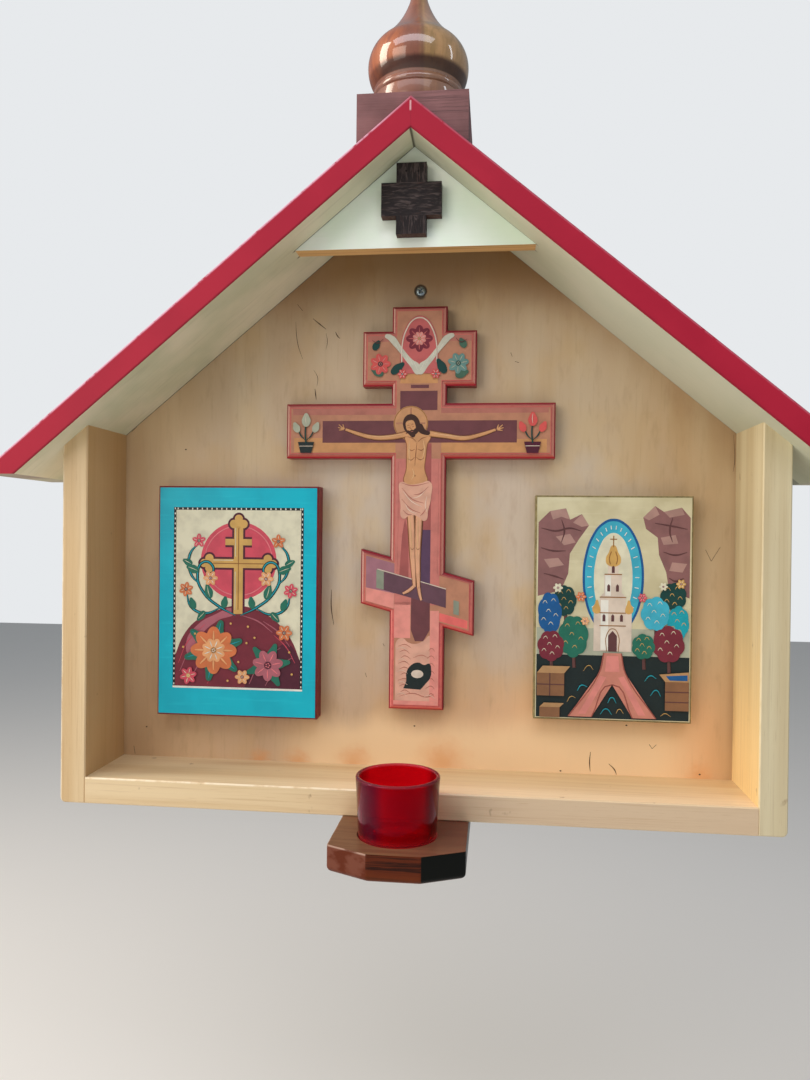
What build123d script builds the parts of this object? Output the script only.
from build123d import *
import math
import os

os.makedirs("parts", exist_ok=True)

# A wooden wall shrine in the shape of a small house front: an open case under a mitred roof,
# with an onion dome on the ridge and a lamp bracket under the shelf.
# X runs to the right as seen from the front, Y into the wall and Z up.
# The back of the case lies in the plane Y = 0, with the origin on it.

# Case
body_width = 484.0
body_depth = 72.0
side_thickness = 18.0
shelf_thickness = 18.0
back_thickness = 12.0
ridge_height = 447.8        # from the shelf's underside to the roof's underside at the ridge
reference_height = 200.0    # from the shelf's underside to the origin on the back panel
foot_radius = 3.5           # lower outer corner of each side board
arris_bevel = 0.8           # sanded front edges of the boards

# Roof
roof_pitch = 39.7
roof_thickness = 15.6
roof_overhang = 19.0        # in front of the case
eave_reach = 24.5           # from a side board's outer face to the foot of the eave's level cut
roof_arris = 0.6

# Gable board and its cross
gable_drop = 67.2           # from the ridge's underside down to the board's lower edge
gable_thickness = 12.0
gable_setback = 27.0        # behind the roof's front edge
gable_cross_lift = 6.5      # above the gable board's lower edge
gable_cross_height = 47.0
gable_cross_width = 40.0
gable_post_width = 20.0
gable_arm_height = 22.0
gable_arm_drop = 13.0       # from the cross's top to its arm
gable_cross_thickness = 7.6
gable_cross_shift = -1.2    # off the ridge line

# Three-bar cross board
cross_lift = 44.5           # above the shelf
cross_height = 290.0
cross_bar = 39.5            # width of the post and of every bar
cross_top_post = 17.5       # post above the title bar
title_bar_width = 82.0
title_bar_gap = 12.5        # between the title bar and the main bar
main_bar_width = 194.0
foot_bar_width = 82.0
foot_bar_lift = 84.5        # from the post's foot to the middle of the foot bar
foot_bar_tilt = 15.0
cross_thickness = 12.0
cross_bevel = 2.0
cross_shift = 0.8           # off the ridge line

# Picture boards, placed from the side boards' inner faces and from the shelf
left_icon_width = 120.6
left_icon_height = 169.4
left_icon_thickness = 14.0
left_icon_inset = 32.2
left_icon_lift = 35.2
right_icon_width = 108.4
right_icon_height = 158.0
right_icon_thickness = 12.0
right_icon_inset = 31.1
right_icon_lift = 41.2
icon_arris = 0.6
print_thickness = 0.6       # sheet on each picture board
print_margin = 1.2          # bare edge around a sheet

# Screw that holds the case on the wall
screw_drop = 81.0           # under the ridge's underside
screw_head_radius = 3.8
screw_head_depth = 0.8      # under the panel's face
screw_shank_radius = 2.0
screw_clearance = 0.2
screw_sink_radius = 4.6     # mouth of the countersink
screw_slot_length = 4.4
screw_slot_width = 0.9
screw_slot_depth = 1.1

# Lamp bracket and its glass
bracket_width = 84.5
bracket_thickness = 17.0
bracket_projection = 63.0   # in front of the case
bracket_bearing = 52.0      # length under the shelf
bracket_cut_side = 26.0     # each cut corner, along X
bracket_cut_front = 12.5    # and along Y
bracket_round = 3.5         # lower edges
bracket_shift = -0.8
recess_depth = 6.0
recess_clearance = 0.6
glass_height = 43.5
glass_foot_radius = 24.6
glass_rim_radius = 26.7
glass_wall = 2.6
glass_floor = 7.0
rim_bevel = 0.8
glass_gap = 0.6             # between the rim and the case's front
glass_shift = -2.6

# Dome block and the turned onion dome
block_width = 73.0
block_depth = 73.0
block_rise = 7.0            # above the ridge
block_setback = 9.0         # behind the roof's front edge
collar_radius = 30.4
collar_height = 12.4        # up to the line cut round under the lip
collar_foot_bevel = 0.8
line_depth = 0.6
lip_rise = 5.4
lip_bevel = 2.2             # height of the bevel from the lip's wall in to the groove
groove_radius = 29.2
bulb_radius = 34.6
bulb_rise = 15.6            # from the groove up to the bulb's widest point
shoulder_radius = 26.4
shoulder_rise = 17.4        # from the widest point up to the shoulder
neck_radius = 6.2
neck_rise = 29.6            # from the shoulder up to the neck
tip_radius = 2.6
tip_rise = 22.0             # from the neck up to the tip

# Places worked out from the sizes above
pitch = math.radians(roof_pitch)
body_half = body_width / 2
inner_half = body_half - side_thickness
case_foot = -reference_height
shelf_top = case_foot + shelf_thickness
ridge_under = case_foot + ridge_height
ridge_top = ridge_under + roof_thickness / math.cos(pitch)
roof_depth = body_depth + roof_overhang


def roof_under(x):
    """Height of the roof's underside at a distance x from the ridge line."""
    return ridge_under - abs(x) * math.tan(pitch)


def roof_top(x):
    """Height of the roof's upper surface at a distance x from the ridge line."""
    return ridge_top - abs(x) * math.tan(pitch)


def front_plane(depth):
    """Upright plane at a depth in front of the wall, facing the viewer."""
    return Plane.XZ.offset(depth)


# Back panel between the side boards, on the shelf and under the roof
screw_height = ridge_under - screw_drop

with BuildPart() as back_panel:
    with BuildSketch(front_plane(0)):
        with BuildLine():
            Polyline(
                (-inner_half, shelf_top),
                (inner_half, shelf_top),
                (inner_half, roof_under(inner_half)),
                (0, ridge_under),
                (-inner_half, roof_under(inner_half)),
                close=True,
            )
        make_face()
    extrude(amount=back_thickness)
    with Locations(front_plane(back_thickness).location * Location((0, screw_height, 0))):
        CounterSinkHole(
            radius=screw_shank_radius + screw_clearance,
            counter_sink_radius=screw_sink_radius,
            depth=back_thickness,
        )
back_panel.part.label = "back_panel"
export_step(back_panel.part, "parts/back_panel.step")

# Wall screw with a cross recess, its head sunk a little under the panel's face
head_front = back_thickness - screw_head_depth
head_back = head_front - (screw_head_radius - screw_shank_radius)

with BuildPart() as wall_screw:
    with BuildSketch(Plane.YZ):
        with BuildLine():
            Polyline(
                (0, screw_height),
                (-head_front, screw_height),
                (-head_front, screw_height + screw_head_radius),
                (-head_back, screw_height + screw_shank_radius),
                (0, screw_height + screw_shank_radius),
                close=True,
            )
        make_face()
    revolve(axis=Axis((0, 0, screw_height), (0, 1, 0)))
    with BuildSketch(front_plane(head_front)):
        with Locations((0, screw_height)):
            Rectangle(screw_slot_length, screw_slot_width)
            Rectangle(screw_slot_width, screw_slot_length)
    extrude(amount=-screw_slot_depth, mode=Mode.SUBTRACT)
wall_screw.part.label = "wall_screw"
export_step(wall_screw.part, "parts/wall_screw.step")

# Side boards, with their tops cut to the roof's slope
for side, sign in (("left", -1), ("right", 1)):
    with BuildPart() as side_board:
        with BuildSketch(front_plane(0)):
            with BuildLine():
                Polyline(
                    (sign * inner_half, case_foot),
                    (sign * body_half, case_foot),
                    (sign * body_half, roof_under(body_half)),
                    (sign * inner_half, roof_under(inner_half)),
                    close=True,
                )
            make_face()
        extrude(amount=body_depth)
        foot_edges = side_board.edges().filter_by(Axis.Y).group_by(Axis.Z)[0]
        fillet(foot_edges.sort_by(Axis.X)[0 if sign < 0 else -1], foot_radius)
        front_edges = side_board.faces().sort_by(Axis.Y)[0].edges().filter_by(Axis.Z)
        chamfer(front_edges, arris_bevel)
    side_board.part.label = side + "_side_board"
    export_step(side_board.part, "parts/" + side + "_side_board.step")

# Shelf between the side boards
with BuildPart() as bottom_shelf:
    with BuildSketch(Plane.XY.offset(case_foot)):
        with Locations((0, -body_depth / 2)):
            Rectangle(2 * inner_half, body_depth)
    extrude(amount=shelf_thickness)
    chamfer(bottom_shelf.faces().sort_by(Axis.Y)[0].edges().filter_by(Axis.X), arris_bevel)
bottom_shelf.part.label = "bottom_shelf"
export_step(bottom_shelf.part, "parts/bottom_shelf.step")

# Roof boards, mitred at the ridge, with their eaves cut level
eave_under_x = body_half + eave_reach
eave_height = roof_under(eave_under_x)
eave_tip_x = (ridge_top - eave_height) / math.tan(pitch)

for side, sign in (("left", -1), ("right", 1)):
    with BuildPart() as roof_board:
        with BuildSketch(front_plane(0)):
            with BuildLine():
                Polyline(
                    (0, ridge_under),
                    (0, ridge_top),
                    (sign * eave_tip_x, eave_height),
                    (sign * eave_under_x, eave_height),
                    close=True,
                )
            make_face()
        extrude(amount=roof_depth)
        front_face = roof_board.faces().sort_by(Axis.Y)[0]
        sloped_edges = front_face.edges().sort_by(Edge.length)[-2:]
        chamfer(sloped_edges, roof_arris)
    roof_board.part.label = side + "_roof_board"
    export_step(roof_board.part, "parts/" + side + "_roof_board.step")

# Gable board under the roof, behind its front edge
gable_foot = ridge_under - gable_drop
gable_half = gable_drop / math.tan(pitch)
gable_front = roof_depth - gable_setback

with BuildPart() as gable_board:
    with BuildSketch(front_plane(gable_front - gable_thickness)):
        with BuildLine():
            Polyline(
                (-gable_half, gable_foot),
                (gable_half, gable_foot),
                (0, ridge_under),
                close=True,
            )
        make_face()
    extrude(amount=gable_thickness)
gable_board.part.label = "gable_board"
export_step(gable_board.part, "parts/gable_board.step")

# Gable cross: the arm laps over the halved post
gable_cross_foot = gable_foot + gable_cross_lift
gable_cross_top = gable_cross_foot + gable_cross_height
gable_arm_middle = gable_cross_top - gable_arm_drop - gable_arm_height / 2
lap_depth = gable_cross_thickness / 2

with BuildPart() as gable_cross_upright:
    with BuildSketch(front_plane(gable_front)):
        with Locations((gable_cross_shift, gable_cross_foot + gable_cross_height / 2)):
            Rectangle(gable_post_width, gable_cross_height)
    extrude(amount=gable_cross_thickness)
    with BuildSketch(front_plane(gable_front + gable_cross_thickness)):
        with Locations((gable_cross_shift, gable_arm_middle)):
            Rectangle(gable_post_width, gable_arm_height)
    extrude(amount=-lap_depth, mode=Mode.SUBTRACT)
gable_cross_upright.part.label = "gable_cross_upright"
export_step(gable_cross_upright.part, "parts/gable_cross_upright.step")

with BuildPart() as gable_cross_arm:
    with BuildSketch(front_plane(gable_front)):
        with Locations((gable_cross_shift, gable_arm_middle)):
            Rectangle(gable_cross_width, gable_arm_height)
    extrude(amount=gable_cross_thickness)
    with BuildSketch(front_plane(gable_front)):
        with Locations((gable_cross_shift, gable_arm_middle)):
            Rectangle(gable_post_width, gable_arm_height)
    extrude(amount=lap_depth, mode=Mode.SUBTRACT)
gable_cross_arm.part.label = "gable_cross_arm"
export_step(gable_cross_arm.part, "parts/gable_cross_arm.step")

# Three-bar cross board: post, title bar, main bar and a tilted foot bar cut upright at its ends
cross_foot = shelf_top + cross_lift
cross_top = cross_foot + cross_height
title_bar_middle = cross_top - cross_top_post - cross_bar / 2
main_bar_middle = title_bar_middle - title_bar_gap - cross_bar
foot_bar_middle = cross_foot + foot_bar_lift
foot_bar_slope = (foot_bar_width / 2) * math.tan(math.radians(foot_bar_tilt))


def cross_outline(inset):
    """Outline of the three-bar cross, drawn smaller all round by the inset."""
    with BuildSketch() as outline:
        with Locations((cross_shift, cross_foot + cross_height / 2)):
            Rectangle(cross_bar, cross_height)
        with Locations((cross_shift, title_bar_middle)):
            Rectangle(title_bar_width, cross_bar)
        with Locations((cross_shift, main_bar_middle)):
            Rectangle(main_bar_width, cross_bar)
        with Locations((cross_shift, foot_bar_middle)):
            Polygon(
                (-foot_bar_width / 2, foot_bar_slope - cross_bar / 2),
                (foot_bar_width / 2, -foot_bar_slope - cross_bar / 2),
                (foot_bar_width / 2, -foot_bar_slope + cross_bar / 2),
                (-foot_bar_width / 2, foot_bar_slope + cross_bar / 2),
                align=None,
            )
        if inset > 0:
            offset(amount=-inset, kind=Kind.INTERSECTION, mode=Mode.REPLACE)
    return outline.sketch


board_outline = cross_outline(0)
print_outline = cross_outline(cross_bevel + print_margin)

with BuildPart() as cross_board:
    with BuildSketch(front_plane(back_thickness)):
        add(board_outline)
    extrude(amount=cross_thickness)
    chamfer(cross_board.faces().sort_by(Axis.Y)[0].edges(), cross_bevel)
cross_board.part.label = "cross_board"
export_step(cross_board.part, "parts/cross_board.step")

with BuildPart() as cross_print:
    with BuildSketch(front_plane(back_thickness + cross_thickness)):
        add(print_outline)
    extrude(amount=print_thickness)
cross_print.part.label = "cross_print"
export_step(cross_print.part, "parts/cross_print.step")

# Picture boards, each with a thin printed sheet on its face
icons = (
    ("left", left_icon_width, left_icon_height, left_icon_thickness,
     -inner_half + left_icon_inset + left_icon_width / 2, left_icon_lift),
    ("right", right_icon_width, right_icon_height, right_icon_thickness,
     inner_half - right_icon_inset - right_icon_width / 2, right_icon_lift),
)

for side, width, height, thickness, centre_x, lift in icons:
    centre_z = shelf_top + lift + height / 2
    with BuildPart() as icon_board:
        with BuildSketch(front_plane(back_thickness)):
            with Locations((centre_x, centre_z)):
                Rectangle(width, height)
        extrude(amount=thickness)
        chamfer(icon_board.faces().sort_by(Axis.Y)[0].edges(), icon_arris)
    icon_board.part.label = side + "_icon_board"
    export_step(icon_board.part, "parts/" + side + "_icon_board.step")

    with BuildPart() as icon_print:
        with BuildSketch(front_plane(back_thickness + thickness)):
            with Locations((centre_x, centre_z)):
                Rectangle(width - 2 * print_margin, height - 2 * print_margin)
        extrude(amount=print_thickness)
    icon_print.part.label = side + "_icon_print"
    export_step(icon_print.part, "parts/" + side + "_icon_print.step")

# Lamp bracket: a plate with cut corners under the shelf, with a recess for the glass
bracket_front = -body_depth - bracket_projection
bracket_back = -body_depth + bracket_bearing
bracket_left = bracket_shift - bracket_width / 2
bracket_right = bracket_shift + bracket_width / 2
glass_x = glass_shift
glass_y = -body_depth - glass_gap - glass_rim_radius
glass_foot = case_foot - recess_depth

with BuildPart() as lamp_bracket:
    with BuildSketch(Plane.XY.offset(case_foot)):
        with BuildLine():
            Polyline(
                (bracket_left, bracket_front + bracket_cut_front),
                (bracket_left + bracket_cut_side, bracket_front),
                (bracket_right - bracket_cut_side, bracket_front),
                (bracket_right, bracket_front + bracket_cut_front),
                (bracket_right, bracket_back - bracket_cut_front),
                (bracket_right - bracket_cut_side, bracket_back),
                (bracket_left + bracket_cut_side, bracket_back),
                (bracket_left, bracket_back - bracket_cut_front),
                close=True,
            )
        make_face()
    extrude(amount=-bracket_thickness)
    fillet(lamp_bracket.faces().sort_by(Axis.Z)[0].edges(), bracket_round)
    with BuildSketch(Plane.XY.offset(case_foot)):
        with Locations((glass_x, glass_y)):
            Circle(glass_foot_radius + recess_clearance)
    extrude(amount=-recess_depth, mode=Mode.SUBTRACT)
lamp_bracket.part.label = "lamp_bracket"
export_step(lamp_bracket.part, "parts/lamp_bracket.step")

# Votive glass: a tapered cup with a thick floor and a bevelled rim, standing in the recess
with BuildPart() as votive_glass:
    with BuildSketch(Plane((glass_x, glass_y, glass_foot), (1, 0, 0), (0, -1, 0))):
        with BuildLine():
            Polyline(
                (0, 0),
                (glass_foot_radius, 0),
                (glass_rim_radius, glass_height),
                (glass_rim_radius - glass_wall, glass_height),
                (glass_foot_radius - glass_wall, glass_floor),
                (0, glass_floor),
                close=True,
            )
        make_face()
    revolve(axis=Axis((glass_x, glass_y, 0), (0, 0, 1)))
    chamfer(votive_glass.faces().sort_by(Axis.Z)[-1].edges(), rim_bevel)
votive_glass.part.label = "votive_glass"
export_step(votive_glass.part, "parts/votive_glass.step")

# Dome block astride the ridge
block_top = ridge_top + block_rise
block_half = block_width / 2
block_front = roof_depth - block_setback

with BuildPart() as dome_block:
    with BuildSketch(front_plane(block_front - block_depth)):
        with BuildLine():
            Polyline(
                (-block_half, block_top),
                (block_half, block_top),
                (block_half, roof_top(block_half)),
                (0, ridge_top),
                (-block_half, roof_top(block_half)),
                close=True,
            )
        make_face()
    extrude(amount=block_depth)
dome_block.part.label = "dome_block"
export_step(dome_block.part, "parts/dome_block.step")

# Onion dome: a turned collar with a line cut round it and a bevelled lip, the bulb and its drawn-out tip
dome_y = -(block_front - block_depth / 2)
collar_top = block_top + collar_height
groove = collar_top + lip_rise
bulb_middle = groove + bulb_rise
shoulder = bulb_middle + shoulder_rise
neck = shoulder + neck_rise
tip = neck + tip_rise

with BuildPart() as onion_dome:
    with BuildSketch(Plane((0, dome_y, 0), (1, 0, 0), (0, -1, 0))):
        with BuildLine():
            Polyline(
                (0, block_top),
                (collar_radius - collar_foot_bevel, block_top),
                (collar_radius, block_top + collar_foot_bevel),
                (collar_radius, collar_top - line_depth),
                (collar_radius - line_depth, collar_top),
                (collar_radius, collar_top + line_depth),
                (collar_radius, groove - lip_bevel),
                (groove_radius, groove),
            )
            TangentArc((bulb_radius, bulb_middle), (groove_radius, groove), tangent=(0, -1))
            upper_bulb = TangentArc((bulb_radius, bulb_middle), (shoulder_radius, shoulder), tangent=(0, 1))
            TangentArc((shoulder_radius, shoulder), (neck_radius, neck), tangent=upper_bulb % 1)
            Polyline((neck_radius, neck), (tip_radius, tip), (0, tip), (0, block_top))
        make_face()
    revolve(axis=Axis((0, dome_y, 0), (0, 0, 1)))
onion_dome.part.label = "onion_dome"
export_step(onion_dome.part, "parts/onion_dome.step")
